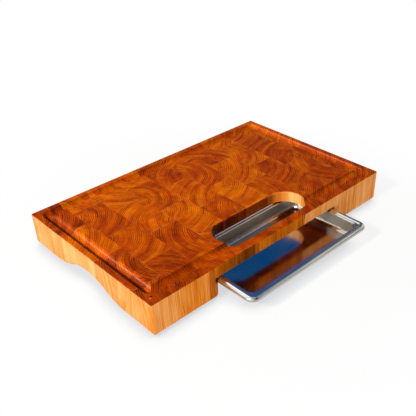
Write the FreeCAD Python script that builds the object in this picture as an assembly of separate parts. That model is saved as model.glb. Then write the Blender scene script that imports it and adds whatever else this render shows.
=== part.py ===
"""End-grain cutting board with a steel tray that slides out from under it.

Millimetres. +Z is up, -Y is the front, where the tray comes out, and X runs along the board.
The origin is at the middle of the whole object's base, with the tray pulled out by tray_out.
"""
import FreeCAD, Part
import math
import os

from FreeCAD import Vector

# Board
side_wood = 120.0  # how far the board reaches past the tray at each end
board_width = 317.0
board_thickness = 59.0
bottom_round = 9.5  # round-over along every edge that meets the counter
top_round = 1.2  # along the top's edges and the slot's, above and below
corner_round = 2.0  # upright corners

# End-grain blocks. Columns run along Y, and neighbouring columns are staggered.
column_count = 10
first_column = 49.2
last_column = 41.2
blocks_in_column = 4
front_block_short = 41.6  # columns 1, 3, 5 and so on
back_block_long = 89.4
front_block_long = 80.9  # columns 2, 4, 6 and so on
back_block_short = 50.1

# Juice groove, measured to its outer edge
groove_width = 18.5
groove_depth = 6.5
groove_side_margin = 9.5
groove_back_margin = 10.0
groove_front_margin = 16.6
groove_corner = 14.8  # outer corner radius

# Scrape slot, which opens into the tray below
slot_end_margin = 40.85  # how far the slot ends inside the tray's ends
slot_width = 65.7
slot_front_margin = 16.0
slot_shift = 3.1  # its middle, right of the board's middle

# Finger grips in the two short sides
grip_height = 22.0
grip_half_width = 92.0
grip_depth = 26.0
grip_shift = 4.0  # its middle, behind the board's middle

# Tray
tray_length = 268.0
tray_width = 161.0
tray_depth = 26.0
tray_sheet = 0.8
tray_corner = 13.0
tray_out = 70.5  # how far the tray stands out of the front at rest
lip_height = 6.2
crest_width = 7.6  # raised outer part of the rim
step_run = 1.1  # slope from the crest down to the shelf
step_drop = 1.5
rim_width = 12.6  # from the outside to the pan's opening
rim_round = 5.0  # outer edge of the crest
crest_edge_round = 0.9  # the crest's inner edge
opening_round = 2.6  # the shelf's edge at the pan's opening
pan_corner = 11.5
pan_draft = 3.0  # how far the floor lies inside the opening
floor_round = 8.0

# Bay for the tray
bay_shift = -2.2  # its middle, from the board's middle
bay_roof = 20.9  # wood above the bay
bay_corner = 12.0
mouth_round = 2.5  # edges of the bay and of its side grooves in the front face
ledge_overlap = 2.0  # how far the tray's lip lies over each ledge
side_clearance = 2.5
end_clearance = 1.0
seat_clearance = 0.3  # under the lip
head_clearance = 0.9  # over the rim

reach = 20.0  # how far a cutting tool runs past the surface it cuts
same_place = 0.001

board_length = tray_length + 2 * side_wood
slot_length = tray_length - 2 * slot_end_margin
board_middle = tray_out / 2
front = board_middle - board_width / 2
back = board_middle + board_width / 2
left = -board_length / 2
right = board_length / 2
bay_ceiling = board_thickness - bay_roof
rim_top = bay_ceiling - head_clearance
ledge = rim_top - lip_height - seat_clearance


def save(name, shape):
    """Writes one sub-part as a STEP file named after its node."""
    shape.exportStep(os.path.join("parts", name + ".step"))


def block(x0, x1, y0, y1, z0, z1):
    return Part.makeBox(x1 - x0, y1 - y0, z1 - z0, Vector(x0, y0, z0))


def rounded_outline(x0, x1, y0, y1, radius, z):
    """Wire of a rectangle with rounded corners, level at height z."""
    shift = radius * (1 - math.sqrt(0.5))
    edges = []
    corners = ((x0, y0), (x1, y0), (x1, y1), (x0, y1))
    starts = []
    ends = []
    middles = []
    for index, (x, y) in enumerate(corners):
        inward_x = 1 if x == x0 else -1
        inward_y = 1 if y == y0 else -1
        along_x = Vector(x + inward_x * radius, y, z)
        along_y = Vector(x, y + inward_y * radius, z)
        turns_to_x = index % 2 == 0
        starts.append(along_y if turns_to_x else along_x)
        ends.append(along_x if turns_to_x else along_y)
        middles.append(Vector(x + inward_x * shift, y + inward_y * shift, z))
    for index in range(4):
        edges.append(Part.Arc(starts[index], middles[index], ends[index]).toShape())
        edges.append(Part.LineSegment(ends[index], starts[(index + 1) % 4]).toShape())
    return Part.Wire(edges)


def rounded_plate(x0, x1, y0, y1, radius, z0, z1):
    outline = rounded_outline(x0, x1, y0, y1, radius, z0)
    return Part.Face(outline).extrude(Vector(0, 0, z1 - z0))


def grip_profile(x):
    """Side outline of a short side: flat feet joined by a smooth arch, as a face at x."""
    middle = board_middle + grip_shift
    radius = (grip_half_width**2 + grip_height**2) / (4 * grip_height)
    turn = math.asin(grip_half_width / (2 * radius))
    half_drop = radius * (1 - math.cos(turn / 2))
    half_run = radius * math.sin(turn / 2)
    edges = []
    points = []
    for side in (-1, 1):
        toe = Vector(x, middle + side * grip_half_width, 0)
        bend = Vector(x, middle + side * (grip_half_width - half_run), half_drop)
        waist = Vector(x, middle + side * grip_half_width / 2, grip_height / 2)
        points.append(toe)
        points.append(bend)
        points.append(waist)
    near_toe, near_bend, near_waist, far_toe, far_bend, far_waist = points
    crown = Vector(x, middle, grip_height)
    bottom_front = Vector(x, front, 0)
    bottom_back = Vector(x, back, 0)
    top_back = Vector(x, back, board_thickness)
    top_front = Vector(x, front, board_thickness)
    edges.append(Part.LineSegment(bottom_front, near_toe).toShape())
    edges.append(Part.Arc(near_toe, near_bend, near_waist).toShape())
    edges.append(Part.Arc(near_waist, crown, far_waist).toShape())
    edges.append(Part.Arc(far_waist, far_bend, far_toe).toShape())
    edges.append(Part.LineSegment(far_toe, bottom_back).toShape())
    edges.append(Part.LineSegment(bottom_back, top_back).toShape())
    edges.append(Part.LineSegment(top_back, top_front).toShape())
    edges.append(Part.LineSegment(top_front, bottom_front).toShape())
    return Part.Face(Part.Wire(edges))


def on_plane(edge, axis, value):
    """True if the whole edge lies where the axis, "X", "Y" or "Z", has this value."""
    box = edge.BoundBox
    low = getattr(box, axis + "Min")
    high = getattr(box, axis + "Max")
    return abs(low - value) < same_place and abs(high - value) < same_place


def inside_feet(edge):
    """True if the edge is clear of the finger grips and of the board's outer sides."""
    box = edge.BoundBox
    clear_of_grips = box.XMin > left + grip_depth + same_place and box.XMax < right - grip_depth - same_place
    return clear_of_grips and box.YMax < back - same_place


def make_slab():
    """The whole board as one body, with its finger grips."""
    left_side = grip_profile(left).extrude(Vector(grip_depth, 0, 0))
    right_side = grip_profile(right).extrude(Vector(-grip_depth, 0, 0))
    middle = block(left + grip_depth, right - grip_depth, front, back, 0, board_thickness)
    return middle.fuse([left_side, right_side]).removeSplitter()


def cut_bay(body):
    """Opens the bay in the underside, from the front to the stop behind the closed tray."""
    plan = bay_outline(-ledge_overlap)
    bay = rounded_plate(*plan, bay_corner, -reach, bay_ceiling)
    return body.cut(bay).removeSplitter().Solids[0]


def bay_outline(clearance):
    """Sides of an opening that stands this far clear of the closed tray's sides."""
    x0 = bay_shift - tray_length / 2 - clearance
    x1 = bay_shift + tray_length / 2 + clearance
    return x0, x1, front - reach, front + tray_width + end_clearance


def round_edges(body):
    """Rounds the edges round the base, the finger grips and the bay, then the corners and the top."""
    base = []
    for edge in body.Edges:
        low = edge.BoundBox.ZMax < grip_height + same_place
        on_short_side = on_plane(edge, "X", left) or on_plane(edge, "X", right)
        on_long_side = on_plane(edge, "Y", front) or on_plane(edge, "Y", back)
        on_base = on_plane(edge, "Z", 0)
        if low and (on_short_side or (on_base and (on_long_side or inside_feet(edge)))):
            base.append(edge)
    body = body.makeFillet(bottom_round, base)
    corner_tools = []
    for x, inward_x in ((left, 1), (right, -1)):
        for y, inward_y in ((front, 1), (back, -1)):
            corner_tools.append(corner_cutter(x, y, inward_x, inward_y))
    body = body.cut(corner_tools)
    top = [edge for edge in body.Edges if on_plane(edge, "Z", board_thickness)]
    return body.makeFillet(top_round, top)


def corner_cutter(x, y, inward_x, inward_y):
    """Upright tool that rounds the board's corner at x, y."""
    square = block(-reach, corner_round, -reach, corner_round, -reach, board_thickness + reach)
    rod = Part.makeCylinder(
        corner_round, board_thickness + 2 * reach, Vector(corner_round, corner_round, -reach)
    )
    post = block(0, corner_round, 0, corner_round, -reach, board_thickness + reach)
    tool = square.cut(post).fuse(post.cut(rod))
    tool = tool.removeSplitter()
    if inward_x < 0:
        tool = tool.mirror(Vector(0, 0, 0), Vector(1, 0, 0))
    if inward_y < 0:
        tool = tool.mirror(Vector(0, 0, 0), Vector(0, 1, 0))
    tool.translate(Vector(x, y, 0))
    return tool


def rim_groove_tool():
    """Cuts the two side grooves whose floors are the ledges that the tray's lip rides on."""
    plan = bay_outline(side_clearance)
    return rounded_plate(*plan, bay_corner, ledge, bay_ceiling)


def slot_tool():
    """Through slot with round ends."""
    radius = slot_width / 2
    x0 = slot_shift - slot_length / 2 + radius
    x1 = slot_shift + slot_length / 2 - radius
    y0 = front + slot_front_margin
    low = bay_ceiling - reach
    high = board_thickness + reach
    ends = [
        Part.makeCylinder(radius, high - low, Vector(x, y0 + radius, low)) for x in (x0, x1)
    ]
    return block(x0, x1, y0, y0 + slot_width, low, high).fuse(ends).removeSplitter()


def cut_slot(body):
    """Cuts the scrape slot and rounds its upper and lower edges."""
    body = body.cut(slot_tool())
    edges = []
    for edge in body.Edges:
        box = edge.BoundBox
        in_x = box.XMin > slot_shift - slot_length / 2 - same_place
        in_x = in_x and box.XMax < slot_shift + slot_length / 2 + same_place
        through = on_plane(edge, "Z", board_thickness) or on_plane(edge, "Z", bay_ceiling)
        if through and in_x and box.YMax < back - reach:
            edges.append(edge)
    return body.makeFillet(top_round, edges)


def round_mouth(body):
    """Rounds the edges of the bay and of its side grooves in the front face."""
    x0, x1, low, high = bay_outline(side_clearance)
    mouth = []
    for edge in body.Edges:
        box = edge.BoundBox
        in_x = box.XMin > x0 - same_place and box.XMax < x1 + same_place
        if on_plane(edge, "Y", front) and in_x and box.ZMax < bay_ceiling + same_place:
            mouth.append(edge)
    return body.makeFillet(mouth_round, mouth)


def groove_tool():
    """Round-bottomed channel that runs round the top."""
    half = groove_width / 2
    radius = (half**2 + groove_depth**2) / (2 * groove_depth)
    height = board_thickness - groove_depth + radius
    bend = groove_corner - half  # radius of the centre line at a corner
    x0 = left + groove_side_margin + half
    x1 = right - groove_side_margin - half
    y0 = front + groove_front_margin + half
    y1 = back - groove_back_margin - half
    tools = []
    for y in (y0, y1):
        run = x1 - x0 - 2 * bend
        tools.append(Part.makeCylinder(radius, run, Vector(x0 + bend, y, height), Vector(1, 0, 0)))
    for x in (x0, x1):
        run = y1 - y0 - 2 * bend
        tools.append(Part.makeCylinder(radius, run, Vector(x, y0 + bend, height), Vector(0, 1, 0)))
    turns = ((x0, y0, 180), (x1, y0, 270), (x1, y1, 0), (x0, y1, 90))
    for x, y, start in turns:
        centre_x = x + bend if x == x0 else x - bend
        centre_y = y + bend if y == y0 else y - bend
        tools.append(groove_corner_tool(radius, bend, height, start, centre_x, centre_y))
    return tools


def groove_corner_tool(radius, bend, height, start, centre_x, centre_y):
    """Quarter turn of the channel, swept about the corner's centre."""
    top = height + radius
    drop = math.sqrt(radius**2 - bend**2)
    inner_low = Vector(0, 0, height - drop)
    outer = Vector(bend + radius, 0, height)
    angle = math.radians(-45)
    low = Vector(bend + radius * math.cos(angle), 0, height + radius * math.sin(angle))
    arc = Part.Arc(inner_low, low, outer).toShape()
    rise = Part.LineSegment(outer, Vector(bend + radius, 0, top)).toShape()
    lid = Part.LineSegment(Vector(bend + radius, 0, top), Vector(0, 0, top)).toShape()
    spine = Part.LineSegment(Vector(0, 0, top), inner_low).toShape()
    section = Part.Face(Part.Wire([arc, rise, lid, spine]))
    tool = section.revolve(Vector(0, 0, 0), Vector(0, 0, 1), 90)
    tool.rotate(Vector(0, 0, 0), Vector(0, 0, 1), start)
    tool.translate(Vector(centre_x, centre_y, 0))
    return tool


def make_board():
    """The carved board, still in one piece."""
    body = cut_slot(round_edges(cut_bay(make_slab())))
    body = round_mouth(body.cut(rim_groove_tool()))
    return body.cut(groove_tool())


def joints_between(low, high, first, last, count):
    """Places of the joints from low to high, with this first and last block and equal ones between."""
    pitch = (high - low - first - last) / (count - 2)
    inner = [low + first + pitch * index for index in range(count - 1)]
    return [low] + inner + [high]


def save_blocks(board):
    """Cuts the board into its end-grain blocks and saves each one."""
    short_first = joints_between(front, back, front_block_short, back_block_long, blocks_in_column)
    long_first = joints_between(front, back, front_block_long, back_block_short, blocks_in_column)
    columns = joints_between(left, right, first_column, last_column, column_count)
    for column in range(column_count):
        x0 = columns[column]
        x1 = columns[column + 1]
        rows = long_first if column % 2 else short_first
        for row in range(blocks_in_column):
            cell = block(x0, x1, rows[row], rows[row + 1], 0, board_thickness)
            letter = "abcdefgh"[row]
            save(f"block_{column + 1:02d}{letter}", board.common(cell))


def tray_outline(inset, radius, height):
    """Rounded rectangle, this far inside the tray's outline."""
    x0 = bay_shift - tray_length / 2 + inset
    x1 = bay_shift + tray_length / 2 - inset
    y0 = front - tray_out + inset
    y1 = front - tray_out + tray_width - inset
    return rounded_outline(x0, x1, y0, y1, radius, height)


def rim_body(inset):
    """The rim's outer shell as a full block, this far inside it, with a rounded upper edge."""
    top = rim_top - inset
    low = rim_top - lip_height - (reach if inset else 0)
    outline = tray_outline(inset, tray_corner - inset, low)
    plate = Part.Face(outline).extrude(Vector(0, 0, top - low))
    upper = [edge for edge in plate.Edges if on_plane(edge, "Z", top)]
    return plate.makeFillet(rim_round - inset, upper)


def step_body(grow):
    """Dish between the crest and the shelf, this far outside its own surface."""
    corner = tray_corner - crest_width
    low = tray_outline(
        crest_width + step_run - grow, corner - step_run + grow, rim_top - step_drop - grow
    )
    high = tray_outline(crest_width - grow, corner + grow, rim_top)
    return Part.makeLoft([low, high], True, True)


def pan_body(grow):
    """Tapered pan with a rounded floor, this far outside its own surface."""
    floor = rim_top - tray_depth + tray_sheet - grow
    low = tray_outline(rim_width + pan_draft - grow, pan_corner - pan_draft + grow, floor)
    high = tray_outline(rim_width - grow, pan_corner + grow, rim_top - step_drop)
    pan = Part.makeLoft([low, high], True, True)
    floor_edges = [edge for edge in pan.Edges if on_plane(edge, "Z", floor)]
    return pan.makeFillet(floor_round + grow, floor_edges)


def make_tray():
    """Pressed steel tray: a pan, a shelf round its opening, and a raised rim that turns down."""
    rim = rim_body(0).cut(rim_body(tray_sheet))
    tray = rim.fuse([step_body(tray_sheet), pan_body(tray_sheet)])
    tray = tray.cut([step_body(0), pan_body(0)]).removeSplitter().Solids[0]
    crest_edges = []
    opening_edges = []
    for edge in tray.Edges:
        from_left = edge.BoundBox.XMin - (bay_shift - tray_length / 2)
        from_right = bay_shift + tray_length / 2 - edge.BoundBox.XMax
        inset = min(from_left, from_right)
        if on_plane(edge, "Z", rim_top) and inset > crest_width - same_place:
            crest_edges.append(edge)
        if on_plane(edge, "Z", rim_top - step_drop) and inset > rim_width - same_place:
            opening_edges.append(edge)
    tray = tray.makeFillet(opening_round, opening_edges)
    return tray.makeFillet(crest_edge_round, crest_edges)


if __name__ == "__main__":
    os.makedirs("parts", exist_ok=True)
    save_blocks(make_board())
    save("tray", make_tray())
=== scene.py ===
"""Looks of the end-grain cutting board and its steel tray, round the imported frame.

Lengths are in metres, in the frame's own axes: +Z up, -Y the front, where the tray comes out. Where a comment
says mm they are in millimetres, and so is every length inside the nodes of the wood and the steel.
"""
import math

import bpy
from mathutils import Matrix, Vector


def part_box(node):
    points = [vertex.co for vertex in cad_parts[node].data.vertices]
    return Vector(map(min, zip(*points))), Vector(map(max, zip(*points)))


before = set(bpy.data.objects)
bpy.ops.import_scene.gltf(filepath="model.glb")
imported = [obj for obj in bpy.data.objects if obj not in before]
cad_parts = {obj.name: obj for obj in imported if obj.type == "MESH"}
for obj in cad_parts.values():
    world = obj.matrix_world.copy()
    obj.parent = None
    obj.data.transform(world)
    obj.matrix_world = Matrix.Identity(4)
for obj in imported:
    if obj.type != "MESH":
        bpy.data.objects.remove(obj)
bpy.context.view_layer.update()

MM = 0.001
WHITE = (1, 1, 1, 1)
BLACK = (0, 0, 0, 1)

# Camera of the photograph
CAMERA_PLACE = (-0.58992, -0.63651, 0.58913)
CAMERA_AZIMUTH = -43.370  # degrees
CAMERA_ELEVATION = 33.561
CAMERA_ROLL = -1.159
SENSOR = 36.0  # mm
LENS = 52.690  # mm
SHIFT_X = -0.0578
SHIFT_Y = 0.0333

BOARD_LOW = Vector(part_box("block_01a")[0])
BOARD_HIGH = Vector(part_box("block_10d")[1])


def srgb(red, green, blue):
    """Linear colour of a screen colour given in 0 to 255."""
    out = []
    for part in (red, green, blue):
        part /= 255.0
        out.append(part / 12.92 if part <= 0.04045 else ((part + 0.055) / 1.055) ** 2.4)
    return (*out, 1.0)


class Nodes:
    """A node tree with short calls for the nodes that the materials use."""

    def __init__(self, tree):
        self.tree = tree
        self.tree.nodes.clear()

    def add(self, kind, inputs=None, **settings):
        made = self.tree.nodes.new("ShaderNode" + kind)
        for name, value in settings.items():
            setattr(made, name, value)
        for name, value in (inputs or {}).items():
            self.feed(made.inputs[name], value)
        return made

    def feed(self, socket, value):
        if isinstance(value, bpy.types.NodeSocket):
            self.tree.links.new(value, socket)
        else:
            socket.default_value = value

    def math(self, operation, *values):
        made = self.add("Math", operation=operation)
        for index, value in enumerate(values):
            self.feed(made.inputs[index], value)
        return made.outputs[0]

    def times(self, value, by):
        return self.math("MULTIPLY", value, by)

    def vector(self, operation, *values):
        made = self.add("VectorMath", operation=operation)
        names = {"SCALE": ("Vector", "Scale")}.get(operation)
        for index, value in enumerate(values):
            self.feed(made.inputs[names[index]] if names else made.inputs[index], value)
        return made.outputs["Value" if operation in ("LENGTH", "DOT_PRODUCT") else "Vector"]

    def noise(self, vector, scale, detail=2.0, roughness=0.5):
        """Noise whose largest features are about one over the scale wide."""
        made = self.add("TexNoise", {"Vector": vector, "Scale": scale, "Detail": detail,
                                     "Roughness": roughness})
        return made.outputs["Fac"]

    def drift(self, vector, scale, detail, reach):
        """Noise that moves a point by up to about half the reach, either way, along each axis."""
        colour = self.add("TexNoise", {"Vector": vector, "Scale": scale, "Detail": detail}).outputs["Color"]
        return self.vector("SCALE", self.vector("SUBTRACT", colour, (0.5, 0.5, 0.5)), reach)

    def span(self, value, low, high, to_low=0.0, to_high=1.0):
        """Smooth step of value from low to high."""
        made = self.add("MapRange", {"Value": value, "From Min": low, "From Max": high,
                                     "To Min": to_low, "To Max": to_high}, interpolation_type="SMOOTHSTEP")
        return made.outputs["Result"]

    def mix(self, factor, first, second, blend="MIX"):
        made = self.add("Mix", data_type="RGBA", blend_type=blend, clamp_factor=True)
        self.feed(made.inputs[0], factor)
        self.feed(made.inputs[6], first)
        self.feed(made.inputs[7], second)
        return made.outputs[2]

    def ramp(self, value, stops):
        made = self.add("ValToRGB", {"Fac": value})
        elements = made.color_ramp.elements
        elements[0].color = stops[0][1]
        elements[1].color = stops[-1][1]
        for position, colour in stops[1:-1]:
            elements.new(position).color = colour
        return made.outputs["Color"]

    def split(self, vector):
        made = self.add("SeparateXYZ", {"Vector": vector})
        return made.outputs[0], made.outputs[1], made.outputs[2]

    def join(self, x, y, z):
        return self.add("CombineXYZ", {"X": x, "Y": y, "Z": z}).outputs[0]

    def place(self):
        """Where the surface is, in mm in the frame's axes."""
        return self.vector("SCALE", self.add("TexCoord").outputs["Object"], 1 / MM)

    def facing(self, axis):
        """How far the surface faces along an axis: 0 is X, 1 is Y and 2 is Z."""
        return self.split(self.add("NewGeometry").outputs["Normal"])[axis]


def new_material(name):
    material = bpy.data.materials.new(name)
    material.use_nodes = True
    return material, Nodes(material.node_tree)


# ---------------------------------------------------------------- wood

# From dark to light, with each colour's place in the range of tones
END_STOPS = ((0.0, srgb(74, 26, 0)), (0.28, srgb(134, 40, 0)), (0.55, srgb(182, 64, 0)),
             (1.0, srgb(232, 114, 2)))
SIDE_STOPS = ((0.0, srgb(92, 34, 0)), (0.28, srgb(184, 92, 0)), (0.42, srgb(202, 114, 22)),
              (0.55, srgb(213, 138, 70)), (1.0, srgb(246, 200, 124)))
GLUE = srgb(226, 140, 72)
# Painted shade: tint that darkens and deepens the slot's back wall
SLOT_SHADE = srgb(255, 190, 110)
AMBER = srgb(176, 206, 20)
# Painted shade: the dark inside of small holes and of a crack, which the geometry doesn't cut
CAVITY_SHADE = srgb(30, 8, 2)
KNOT = srgb(240, 120, 24)
STAIN = srgb(74, 26, 0)
FRONT_STREAK_COLOUR = srgb(74, 30, 2)

# Each pattern's middle, and how much the pattern changes the tone
END_PATTERNS = {"band": (0.5, 1.10), "cloud": (0.5, 0.66), "patch": (0.5, 0.26), "ray": (0.5, 0.30),
                "fine": (0.5, 0.60), "speck": (0.5, 0.40), "rings": (0.14, -0.86), "thin": (0.10, -0.45),
                "beyond": (0.0, -0.03), "hollow": (0.0, 0.02)}
# The pattern on the slot's walls lowers their tone: painted shade
SIDE_PATTERNS = {"fibre": (0.5, 0.58), "streak": (0.5, 0.45), "band": (0.5, 0.35), "rings": (0.12, -0.28),
                 "slot_shade": (0.0, -0.08)}
AMBER_NOISE = (0.36, 0.64)  # where in its noise the amber begins and is full
AMBER_SHARE = 0.62
GLUE_NOISE = (0.42, 0.62)
GLUE_SHARE = 0.5

SLOT_FRONT = -107.2  # mm, along Y
SLOT_BACK = -41.6  # mm
SLOT_REACH = 100.0  # mm, along X from the middle, a little past the slot's ends
SLOT_NEAR = 1.0  # mm, how near the slot the wood counts as its wall,
SLOT_FAR = 2.0  # mm, and how far off it no longer does
BOARD_MIDDLE = (BOARD_LOW + BOARD_HIGH) / 2 / MM
GROOVE_LINE = (234.0, 135.0)  # mm from the board's middle along X and Y, half way across the groove
GROOVE_SOFT = 2.0  # mm
GROOVE_TOP = 58.8  # mm
GROOVE_FADE = 0.6  # mm
GROOVE_REACH = (250.0, 155.0)  # mm from the board's middle, past the groove and short of the board's sides
END_ABOVE = (0.05, 0.35)  # how far a surface faces up before its end grain shows
END_BELOW = (0.70, 0.95)  # and down

RING_PITCH = 3.3  # mm
RING_UNEVEN = 1.6  # how many rings the spacing wanders by
RING_STEEP = 2.2  # how late in its growth a ring darkens
RING_EDGE = 0.82  # where in its growth a ring is darkest
RING_LEAST = 0.3  # strength of the weakest ring beside the strongest
CLUSTER_NOISE = (0.36, 0.62)  # rings are weak in places and strong in others
CLUSTER_STRENGTH = (0.2, 1.15)
THIN_RINGS = 2.7  # fine lines to a ring
THIN_STEEP = 2.0
THIN_EDGE = 0.7
WANDER = 4.5  # mm, how wide the rings wander over a block
RIPPLE = 1.3  # mm, and over a few rings
SEED_SHIFT = (37.0, 91.0)  # mm along X and Z from one block's noise to the next one's
LEAN = (0.05, -0.03)  # mm along X and Y, for each mm of height
JOINT_WIDTH = (0.15, 0.55)  # mm, where a glue line is full and where it is gone
BACK_WALL_FACING = (-0.3, -0.9)  # along Y, where the slot's back wall begins and is full
WOOD_ROUGH = (0.34, 0.50)  # least and most
GROOVE_SMOOTHER = 0.12
SPECK_HEIGHT = 0.6  # how much the specks and the rings raise and lower the surface
RING_DEPTH = 0.6


def wood_group():
    """Node group of a block of wood whose fibres run along Z. Its inputs are in millimetres."""
    group = bpy.data.node_groups.new("end_grain", "ShaderNodeTree")
    face = group.interface
    for name, kind in (("Pith", "Vector"), ("Seed", "Float"), ("Tone", "Float"), ("Side tone", "Float"),
                       ("Joint low", "Vector"), ("Joint high", "Vector")):
        face.new_socket(name=name, in_out="INPUT", socket_type="NodeSocket" + kind)
    for name, kind in (("Color", "Color"), ("Roughness", "Float"), ("Height", "Float")):
        face.new_socket(name=name, in_out="OUTPUT", socket_type="NodeSocket" + kind)
    n = Nodes(group)
    given = group.nodes.new("NodeGroupInput")
    made = group.nodes.new("NodeGroupOutput")

    place = n.place()
    x, y, z = n.split(place)
    seed = given.outputs["Seed"]
    shifted = n.vector("ADD", place,
                       n.join(n.times(seed, SEED_SHIFT[0]), 0.0, n.times(seed, SEED_SHIFT[1])))

    # Distance from the pith, on a wandering path that leans a little along the fibres
    wander = n.drift(shifted, 0.02, 1.0, WANDER)
    ripple = n.drift(shifted, 0.16, 2.0, RIPPLE)
    lean = n.join(n.times(z, LEAN[0]), n.times(z, LEAN[1]), 0.0)
    across = n.vector("SUBTRACT", place, given.outputs["Pith"])
    across = n.vector("ADD", n.vector("ADD", across, wander), n.vector("ADD", ripple, lean))
    across_x, across_y, _ = n.split(across)
    radius = n.vector("LENGTH", n.join(across_x, across_y, 0.0))
    angle = n.math("ARCTAN2", across_y, across_x)

    # Growth rings: each one darkens slowly to its edge, and some are much darker than others
    uneven = n.noise(n.join(n.times(radius, 0.07), seed, 0.0), 1.0)
    ring = n.math("ADD", n.math("DIVIDE", radius, RING_PITCH), n.times(uneven, RING_UNEVEN))
    within = n.math("FRACT", ring)
    late = n.times(n.math("POWER", within, RING_STEEP), n.span(within, 1.0, RING_EDGE))
    strength = n.add("TexWhiteNoise", {"W": n.math("ADD", n.math("FLOOR", ring), seed)},
                     noise_dimensions="1D").outputs["Value"]
    strength = n.span(strength, 0.0, 1.0, RING_LEAST, 1.0)
    cluster = n.span(n.noise(shifted, 0.03, detail=1.0), *CLUSTER_NOISE, *CLUSTER_STRENGTH)
    strength = n.times(strength, cluster)
    rings = n.times(late, strength)
    thin = n.math("FRACT", n.times(ring, THIN_RINGS))
    thin = n.times(n.times(n.math("POWER", thin, THIN_STEEP), n.span(thin, 1.0, THIN_EDGE)), uneven)

    # Colour that changes along and across the rings, and over the block
    fine = n.noise(n.join(n.times(radius, 1.3), n.times(angle, 1.5), seed), 1.0, detail=3.0)
    band = n.noise(n.join(n.times(radius, 0.075), n.times(angle, 0.9), seed), 1.0, detail=3.0, roughness=0.6)
    ray = n.noise(n.join(n.times(angle, 55.0), n.times(radius, 0.03), seed), 1.0)
    cloud = n.noise(shifted, 0.03, detail=3.0, roughness=0.6)
    patch = n.noise(shifted, 0.085)
    speck = n.noise(n.vector("MULTIPLY", shifted, (1.0, 1.0, 0.05)), 1.1)
    fibre = n.noise(n.vector("MULTIPLY", shifted, (1.0, 1.0, 0.03)), 0.5, detail=4.0, roughness=0.75)
    streak = n.noise(n.vector("MULTIPLY", shifted, (1.0, 1.0, 0.06)), 0.09)

    # Painted shade: the slot's walls are darkened, standing in for the shade inside the slot
    slot_shade = n.times(n.span(y, SLOT_FRONT - SLOT_FAR, SLOT_FRONT - SLOT_NEAR),
                     n.span(y, SLOT_BACK + SLOT_FAR, SLOT_BACK + SLOT_NEAR))
    slot_shade = n.times(slot_shade, n.span(n.math("ABSOLUTE", x), SLOT_REACH + SLOT_FAR, SLOT_REACH))

    # Oil darkens the strip outside the groove. Painted light: inside the groove the wood is a little lighter,
    # standing in for the stronger light on its walls
    out_x = n.math("ABSOLUTE", n.math("SUBTRACT", x, BOARD_MIDDLE.x))
    out_y = n.math("ABSOLUTE", n.math("SUBTRACT", y, BOARD_MIDDLE.y))
    beyond = n.math("MAXIMUM", n.span(out_x, GROOVE_LINE[0], GROOVE_LINE[0] + GROOVE_SOFT),
                    n.span(out_y, GROOVE_LINE[1], GROOVE_LINE[1] + GROOVE_SOFT))
    hollow = n.times(n.span(z, GROOVE_TOP, GROOVE_TOP - GROOVE_FADE),
                     n.span(out_x, GROOVE_REACH[0] + 1.0, GROOVE_REACH[0]))
    hollow = n.times(hollow, n.span(out_y, GROOVE_REACH[1] + 1.0, GROOVE_REACH[1]))

    # End grain on what faces up or down, long grain on what faces sideways
    upward = n.facing(2)
    end_share = n.math("MAXIMUM", n.span(upward, *END_ABOVE), n.span(n.times(upward, -1.0), *END_BELOW))

    patterns = {"band": band, "cloud": cloud, "patch": patch, "ray": ray, "fine": fine, "speck": speck,
                "rings": rings, "thin": thin, "beyond": beyond, "hollow": hollow, "fibre": fibre,
                "streak": streak, "slot_shade": slot_shade}

    def tone_of(base, strengths):
        """Base tone plus each pattern's distance from its middle times its strength."""
        for name, (middle, amount) in strengths.items():
            base = n.math("ADD", base, n.times(n.math("SUBTRACT", patterns[name], middle), amount))
        return base

    end_colour = n.ramp(tone_of(given.outputs["Tone"], END_PATTERNS), END_STOPS)
    amber = n.span(n.noise(shifted, 0.035, detail=3.0, roughness=0.7), *AMBER_NOISE)
    end_colour = n.mix(n.times(amber, AMBER_SHARE), end_colour, AMBER, "OVERLAY")

    # Painted shade: the slot's back wall, which faces the front, is tinted darker and deeper, for the shade
    # it lies in
    side_colour = n.ramp(tone_of(given.outputs["Side tone"], SIDE_PATTERNS), SIDE_STOPS)
    slot_back_shade = n.times(slot_shade, n.span(n.facing(1), *BACK_WALL_FACING))
    side_colour = n.mix(slot_back_shade, side_colour, SLOT_SHADE, "MULTIPLY")
    colour = n.mix(end_share, side_colour, end_colour)

    # Thin glue lines at the joints with the neighbouring blocks
    low_x, low_y, _ = n.split(n.vector("SUBTRACT", place, given.outputs["Joint low"]))
    high_x, high_y, _ = n.split(n.vector("SUBTRACT", given.outputs["Joint high"], place))
    nearest = n.math("MINIMUM", n.math("MINIMUM", low_x, high_x), n.math("MINIMUM", low_y, high_y))
    glue = n.span(nearest, JOINT_WIDTH[1], JOINT_WIDTH[0])
    glue = n.times(glue, n.span(cloud, *GLUE_NOISE, 0.0, GLUE_SHARE))
    colour = n.mix(n.times(glue, end_share), colour, GLUE)

    n.feed(made.inputs["Color"], colour)
    rough = n.span(n.math("ADD", cloud, n.times(rings, 0.3)), 0.2, 0.9, *WOOD_ROUGH)
    n.feed(made.inputs["Roughness"], n.math("MULTIPLY_ADD", hollow, -GROOVE_SMOOTHER, rough))
    raised = n.math("SUBTRACT", n.times(speck, SPECK_HEIGHT), n.times(rings, RING_DEPTH))
    n.feed(made.inputs["Height"], raised)
    return group


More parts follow.
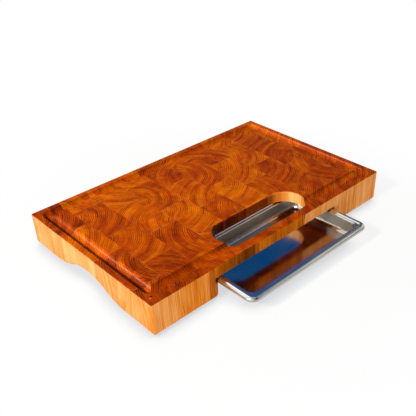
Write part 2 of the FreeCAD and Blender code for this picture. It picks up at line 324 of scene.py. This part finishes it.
# Each block: where its growth rings' centre is from the block's middle, in mm along X and Y, and how light
# its end grain is
DARK, DEEP, MID, PALE, LIGHT = 0.35, 0.45, 0.50, 0.60, 0.70
BLOCKS = {
    "01a": (60, -30, DARK), "01b": (55, -14, DARK), "01c": (-60, 60, PALE), "01d": (-60, 40, DARK),
    "02a": (-41, -19, DARK), "02b": (-39, 49, MID), "02c": (-41, 39, DEEP), "02d": (-50, -30, PALE),
    "03a": (-60, -40, DEEP), "03b": (70, -20, DEEP), "03c": (36, -49, PALE), "03d": (60, 40, PALE),
    "04a": (-60, -30, MID), "04b": (-35, 55, PALE), "04c": (-35, 7, MID), "04d": (-50, -60, LIGHT),
    "05a": (-50, -60, DEEP), "05b": (60, -40, DEEP), "05c": (43, -60, PALE), "05d": (60, -60, DEEP),
    "06a": (60, -60, MID), "06b": (-24, 63, LIGHT), "06c": (-38, 20, MID), "06d": (30, -80, PALE),
    "07a": (-70, 20, DEEP), "07b": (-50, 20, MID), "07c": (-60, 70, PALE), "07d": (-60, -60, MID),
    "08a": (-60, 60, DEEP), "08b": (-40, 60, DEEP), "08c": (-45, 25, PALE), "08d": (-60, 60, PALE),
    "09a": (50, -60, DEEP), "09b": (62, -2, MID), "09c": (30, -55, DEEP), "09d": (-30, 70, MID),
    "10a": (-60, 60, DEEP), "10b": (-50, 50, DEEP), "10c": (40, -60, PALE), "10d": (-50, -60, PALE),
}

# How light a block's long grain is, where it isn't the usual. Partly painted light: the low tones of 02a, 04b
# and 05b are painted shade, on the foot near the tray's mouth and on the slot's walls, and the high tones of
# 07b and 08b are painted light on the slot's lit right end
SIDE_USUAL = 0.50
LONG_GRAIN_TONES_AND_SHADING = {"01c": 0.60, "01d": 0.55, "02a": 0.40, "03a": 0.20, "03b": 0.40, "04a": 0.15, "04b": 0.25,
              "05a": 0.25, "05b": 0.30, "06a": 0.25, "06b": 0.45, "07a": 0.55, "07b": 0.85, "08b": 0.90}

# Small marks: block, place in mm in the frame's axes, radius in mm, stretch along X, colour. The near-black
# ones are painted shade inside small holes and a crack
MARKS = (
    ("01a", (-242.2, -108.2, 59.0), 2.2, 1.3, CAVITY_SHADE), ("01a", (-245.4, -110.3, 59.0), 1.9, 1.3, KNOT),
    ("03a", (-149.4, -115.4, 59.0), 1.4, 1.5, CAVITY_SHADE), ("03b", (-146.6, -40.4, 59.0), 1.2, 1.0, CAVITY_SHADE),
    ("04b", (-96.1, -41.3, 59.0), 1.8, 1.3, CAVITY_SHADE), ("04a", (-98.9, -48.6, 59.0), 1.2, 0.8, CAVITY_SHADE),
    ("04b", (-49.6, -39.2, 59.0), 1.8, 0.9, KNOT), ("05c", (-20.6, 81.6, 59.0), 1.5, 1.3, CAVITY_SHADE),
    ("06c", (52.0, 79.2, 59.0), 1.4, 0.9, CAVITY_SHADE), ("07d", (86.8, 121.4, 59.0), 1.5, 1.2, CAVITY_SHADE),
    ("06b", (28.6, 36.0, 59.0), 1.6, 1.0, STAIN), ("09a", (161.6, -109.0, 59.0), 1.5, 1.2, CAVITY_SHADE),
    ("09b", (172.8, -44.0, 59.0), 1.2, 1.4, CAVITY_SHADE), ("06a", (54.7, -122.6, 56.5), 3.6, 0.35, CAVITY_SHADE),
)
MARK_UPRIGHT = 0.45  # a mark reaches further along Z than across, by one over this
MARK_CORE = 0.45  # share of a mark's radius that has its full colour
MARK_DEPTH = 2.0

FRONT_STREAK_NODES = ("block_03a", "block_04a")  # have a dark streak on their fronts
FRONT_STREAK_SPAN = (-136.0, -74.0, -59.5, -57.5)  # mm along X: it begins, is darkest from and to, and ends
FRONT_STREAK_SHARE = 0.72

THROWN = 0.5  # share of the light that wood throws on other wood that is kept back
WOOD_BUMP = {"Strength": 0.15, "Distance": 0.0004}
WOOD_GLOSS = {"Specular IOR Level": 0.07, "Specular Tint": (1.0, 0.84, 0.6, 1)}
FAR = 1000.0  # mm, where a block has no neighbour


def wood_material(node, group):
    """End-grain wood for one block."""
    block = node[-3:]
    pith_x, pith_y, tone = BLOCKS[block]
    low, high = (Vector(corner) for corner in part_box(node))
    middle = (low + high) / 2 / MM
    joint_low = [v / MM if v > edge + MM else -FAR for v, edge in zip(low, BOARD_LOW)]
    joint_high = [v / MM if v < edge - MM else FAR for v, edge in zip(high, BOARD_HIGH)]
    material, n = new_material(node)
    grain = n.add("Group")
    grain.node_tree = group
    column, row = int(block[:2]), ord(block[2]) - ord("a")
    for name, value in (("Pith", (middle.x + pith_x, middle.y + pith_y, 0)), ("Seed", column * 4.0 + row),
                        ("Tone", tone), ("Side tone", LONG_GRAIN_TONES_AND_SHADING.get(block, SIDE_USUAL)),
                        ("Joint low", joint_low), ("Joint high", joint_high)):
        grain.inputs[name].default_value = value
    colour, height = grain.outputs["Color"], grain.outputs["Height"]

    place = n.place()
    for marked, centre, radius, stretch, mark in MARKS:
        if marked == block:
            away = n.vector("MULTIPLY", n.vector("SUBTRACT", place, centre), (1 / stretch, 1.0, MARK_UPRIGHT))
            share = n.span(n.vector("LENGTH", away), radius, radius * MARK_CORE)
            colour = n.mix(share, colour, mark)
            height = n.math("SUBTRACT", height, n.times(share, MARK_DEPTH))
    # Darker streak on the front of these blocks
    if node in FRONT_STREAK_NODES:
        x = n.split(place)[0]
        start, full, hold, stop = FRONT_STREAK_SPAN
        share = n.times(n.span(x, start, full), n.span(x, stop, hold))
        front = n.math("LESS_THAN", n.facing(1), -0.5)
        colour = n.mix(n.times(n.times(share, front), FRONT_STREAK_SHARE), colour, FRONT_STREAK_COLOUR)

    # Light that the wood throws on other wood is kept low, so that the groove and the slot stay deep
    colour = n.mix(n.times(n.add("LightPath").outputs["Is Diffuse Ray"], THROWN), colour, BLACK)
    bump = n.add("Bump", {"Height": height, **WOOD_BUMP})
    shader = n.add("BsdfPrincipled", {"Base Color": colour, "Roughness": grain.outputs["Roughness"],
                                      "Normal": bump.outputs[0], **WOOD_GLOSS})
    n.add("OutputMaterial", {"Surface": shader.outputs[0]})
    return material


# ---------------------------------------------------------------- steel

BRUSHING = (0.012, 1.6, 1.6)  # long along X, fine across it
RIM_LOW = 34.5  # mm, below which the pan is duller than the rim
RIM_FADE = 1.0  # mm
RIM_ROUGH = 0.17
FLOOR_ROUGH = (0.13, 0.18)  # of the pan's floor, least and most
WALL_ROUGHER = 0.16  # how much rougher the pan's walls are
STEEL_GREY = srgb(196, 195, 192)
STEEL_CLEAR = srgb(214, 213, 209)
SCUFFED = srgb(150, 146, 142)
SCUFF_SHARE = 0.4
# Painted reflection: warm brown tint on the pan's floor, for the wood it mirrors
STEEL_FLOOR_REFLECTION = srgb(166, 146, 134)
STEEL_FLOOR_REFLECTION_SHARE = 0.75
# Painted shade: darker tint on the pan's walls
STEEL_WALL_SHADE = srgb(164, 166, 160)
STEEL_WALL_SHADE_SHARE = 0.7


def steel_material():
    """Bright stainless steel, brushed a little along X, with fine marks, a painted warm reflection on the
    pan's floor and painted shade on its walls.
    """
    material, n = new_material("tray_steel")
    place = n.place()
    height = n.split(place)[2]
    brushed = n.noise(n.vector("MULTIPLY", place, BRUSHING), 1.0, detail=3.0, roughness=0.6)
    smear = n.noise(place, 0.025, detail=3.0)
    scuff = n.noise(place, 0.14, detail=3.0, roughness=0.65)
    tint = n.mix(n.span(n.math("ADD", brushed, smear), 0.7, 1.3), STEEL_GREY, STEEL_CLEAR)
    tint = n.mix(n.span(scuff, 0.56, 0.72, 0.0, SCUFF_SHARE), tint, SCUFFED)
    level = n.math("ABSOLUTE", n.facing(2))
    inside = n.span(height, RIM_LOW + RIM_FADE, RIM_LOW)
    # Painted reflection: the pan's floor is tinted warm brown
    on_floor = n.times(inside, n.span(level, 0.5, 0.9))
    tint = n.mix(n.times(on_floor, STEEL_FLOOR_REFLECTION_SHARE), tint, STEEL_FLOOR_REFLECTION)
    # Painted shade: the pan's walls are tinted darker
    on_wall = n.times(inside, n.span(level, 0.5, 0.2))
    tint = n.mix(n.times(on_wall, STEEL_WALL_SHADE_SHARE), tint, STEEL_WALL_SHADE)
    pan = n.math("ADD", n.span(smear, 0.35, 0.7, *FLOOR_ROUGH), n.span(level, 0.8, 0.3, 0.0, WALL_ROUGHER))
    rough = n.span(height, RIM_LOW, RIM_LOW + RIM_FADE, pan, RIM_ROUGH)
    shader = n.add("BsdfPrincipled", {"Base Color": tint, "Roughness": rough, "Metallic": 1.0})
    n.add("OutputMaterial", {"Surface": shader.outputs[0]})
    return material


# ---------------------------------------------------------------- stage

FLOOR_SIZE = 8.0
FLOOR_DROP = 0.0002  # so that the floor and the object's base don't share a plane
FLOOR_MATT = (0.86, 0.86, 0.86, 1)
FLOOR_SHADE = srgb(222, 223, 226)  # where the object is close over the floor
SHADE_REACH = 0.03
SHADE_OPEN = (0.95, 0.35)  # how open the floor is where the shade begins and where it is full
FADE_REACH = (0.25, 0.5)  # how far from the middle the floor begins to turn white, and where it is white
FADE_SHARE = (0.88, 1.0)  # how white it is at both


def make_stage():
    """Pale floor with the object's shadow, white far from the object for the camera and in reflections."""
    bpy.ops.mesh.primitive_plane_add(size=FLOOR_SIZE, location=(0, 0, -FLOOR_DROP))
    floor = bpy.context.object
    floor.name = "floor"
    material, n = new_material("floor")
    matt = n.add("BsdfDiffuse", {"Color": FLOOR_MATT})
    near = n.add("AmbientOcclusion", {"Color": WHITE, "Distance": SHADE_REACH}, samples=16)
    shade = n.span(near.outputs["AO"], *SHADE_OPEN)
    white = n.add("Emission", {"Color": n.mix(shade, WHITE, FLOOR_SHADE), "Strength": 1.0})
    away = n.vector("LENGTH", n.vector("MULTIPLY", n.add("TexCoord").outputs["Object"], (1, 1, 0)))
    path = n.add("LightPath")
    direct = n.math("MAXIMUM", path.outputs["Is Camera Ray"],
                    n.math("MAXIMUM", path.outputs["Is Glossy Ray"], path.outputs["Is Transmission Ray"]))
    fade = n.times(n.span(away, *FADE_REACH, *FADE_SHARE), direct)
    seen = n.add("MixShader", {0: fade, 1: matt.outputs[0], 2: white.outputs[0]})
    n.add("OutputMaterial", {"Surface": seen.outputs[0]})
    floor.data.materials.append(material)


# The studio that the surfaces mirror: soft round patches, each with the direction of its middle, the angles
# from there, in degrees, up to which it is full and beyond which it is gone, and its colour. Later ones
# cover earlier ones.
STUDIO_DARK = srgb(84, 96, 104)
STUDIO = (
    ((0.0, -0.15, 0.99), 16, 33, srgb(196, 201, 206)),  # overhead
    ((0.811, -0.114, 0.574), 24, 31, srgb(252, 246, 214)),  # right, beige
    ((0.602, -0.680, 0.418), 3, 8, (1.8, 1.6, 1.25, 1)),  # right front, small and bright
    ((0.456, -0.472, 0.755), 8, 15, srgb(0, 78, 160)),  # right front, high, blue
    ((-0.75, 0.50, 0.43), 15, 35, (1.7, 1.75, 1.65, 1)),  # left back, bright
    ((-0.85, -0.25, 0.40), 25, 60, srgb(244, 240, 232)),  # left, wide
    ((0.588, 0.577, 0.566), 5, 12, srgb(6, 98, 180)),  # right back, small, blue
    ((0.57, 0.10, 0.81), 12, 17, srgb(40, 92, 140)),  # right, high, dull blue
    ((-0.12, 0.48, 0.87), 16, 26, (1.1, 1.1, 1.08, 1)),  # back, high, white
    ((0.12, 0.58, 0.805), 8, 18, (1.9, 1.9, 1.9, 1)),  # back, high, bright
)
WORLD_FILL = (0.07, 0.07, 0.07, 1)


def make_world():
    """White for the camera, a plain dim fill for matt surfaces, and a studio for the reflections."""
    world = bpy.data.worlds.new("studio")
    world.use_nodes = True
    bpy.context.scene.world = world
    n = Nodes(world.node_tree)
    along = n.add("TexCoord").outputs["Generated"]
    path = n.add("LightPath")
    studio = STUDIO_DARK
    for direction, full, gone, colour in STUDIO:
        share = n.vector("DOT_PRODUCT", along, tuple(Vector(direction).normalized()))
        share = n.span(share, math.cos(math.radians(gone)), math.cos(math.radians(full)))
        studio = n.mix(share, studio, colour)
    fill = n.mix(path.outputs["Is Glossy Ray"], WORLD_FILL, studio)
    seen = n.mix(path.outputs["Is Camera Ray"], fill, WHITE)
    ground = n.add("Background", {"Color": seen, "Strength": 1.0})
    n.add("OutputWorld", {"Surface": ground.outputs[0]})


def add_lamp(name, place, target, size, power, colour=(1, 1, 1), mirrored=False):
    """Soft light, size wide and high, aimed at the target."""
    data = bpy.data.lights.new(name, "AREA")
    data.shape = "RECTANGLE"
    data.size, data.size_y = size
    data.energy = power
    data.color = colour
    lamp = bpy.data.objects.new(name, data)
    lamp.location = place
    lamp.rotation_euler = (Vector(target) - Vector(place)).to_track_quat("-Z", "Y").to_euler()
    lamp.visible_glossy = mirrored  # where it is off, the world holds what surfaces mirror
    bpy.context.collection.objects.link(lamp)
    return lamp


def make_lights(wood):
    add_lamp("key_left", place=(-2.55, -0.12, 1.86), target=(0, 0, 0.03), size=(0.32, 0.32), power=138.0,
             colour=(1.0, 0.98, 0.95), mirrored=True)
    add_lamp("front_fill", place=(-0.2, -1.85, 0.11), target=(0, 0, 0.05), size=(0.6, 0.12), power=20.5,
             colour=(0.95, 1.0, 1.12))
    add_lamp("back_fill", place=(1.2, 1.4, 0.09), target=(0, 0, 0.05), size=(0.7, 0.10), power=14.0)
    glint = add_lamp("glint", place=(-1.24, 1.20, 1.05), target=(0, 0, 0.05), size=(0.34, 0.34), power=28.0,
                     mirrored=True)
    glint.visible_diffuse = False
    glint.light_linking.receiver_collection = wood  # only the oiled wood mirrors it
    add_lamp("window", place=(0.34, 1.04, 1.30), target=(0, 0, 0.05), size=(0.36, 0.36), power=2.5)


def make_camera():
    data = bpy.data.cameras.new("camera")
    data.sensor_width = SENSOR
    data.lens = LENS
    data.shift_x = SHIFT_X
    data.shift_y = SHIFT_Y
    camera = bpy.data.objects.new("camera", data)
    azimuth, elevation, roll = (math.radians(v) for v in (CAMERA_AZIMUTH, CAMERA_ELEVATION, CAMERA_ROLL))
    ahead = Vector((-math.sin(azimuth) * math.cos(elevation), math.cos(azimuth) * math.cos(elevation),
                    -math.sin(elevation)))
    level = Vector((math.cos(azimuth), math.sin(azimuth), 0))
    above = level.cross(ahead)
    right = level * math.cos(roll) + above * math.sin(roll)
    up = right.cross(ahead)
    turn = Matrix((right, up, -ahead)).transposed()
    camera.matrix_world = Matrix.Translation(CAMERA_PLACE) @ turn.to_4x4()
    bpy.context.collection.objects.link(camera)
    bpy.context.scene.camera = camera


def dress(node, material):
    """Gives a CAD node its material."""
    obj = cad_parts[node]
    if not obj.data.materials:
        obj.data.materials.append(material)
    for slot in obj.material_slots:
        slot.material = material


make_camera()
make_stage()
make_world()

grain_group = wood_group()
wood = bpy.data.collections.new("wood")
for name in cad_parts:
    if name.startswith("block_"):
        dress(name, wood_material(name, grain_group))
        wood.objects.link(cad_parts[name])
make_lights(wood)
dress("tray", steel_material())

bpy.context.scene.view_settings.view_transform = "Standard"
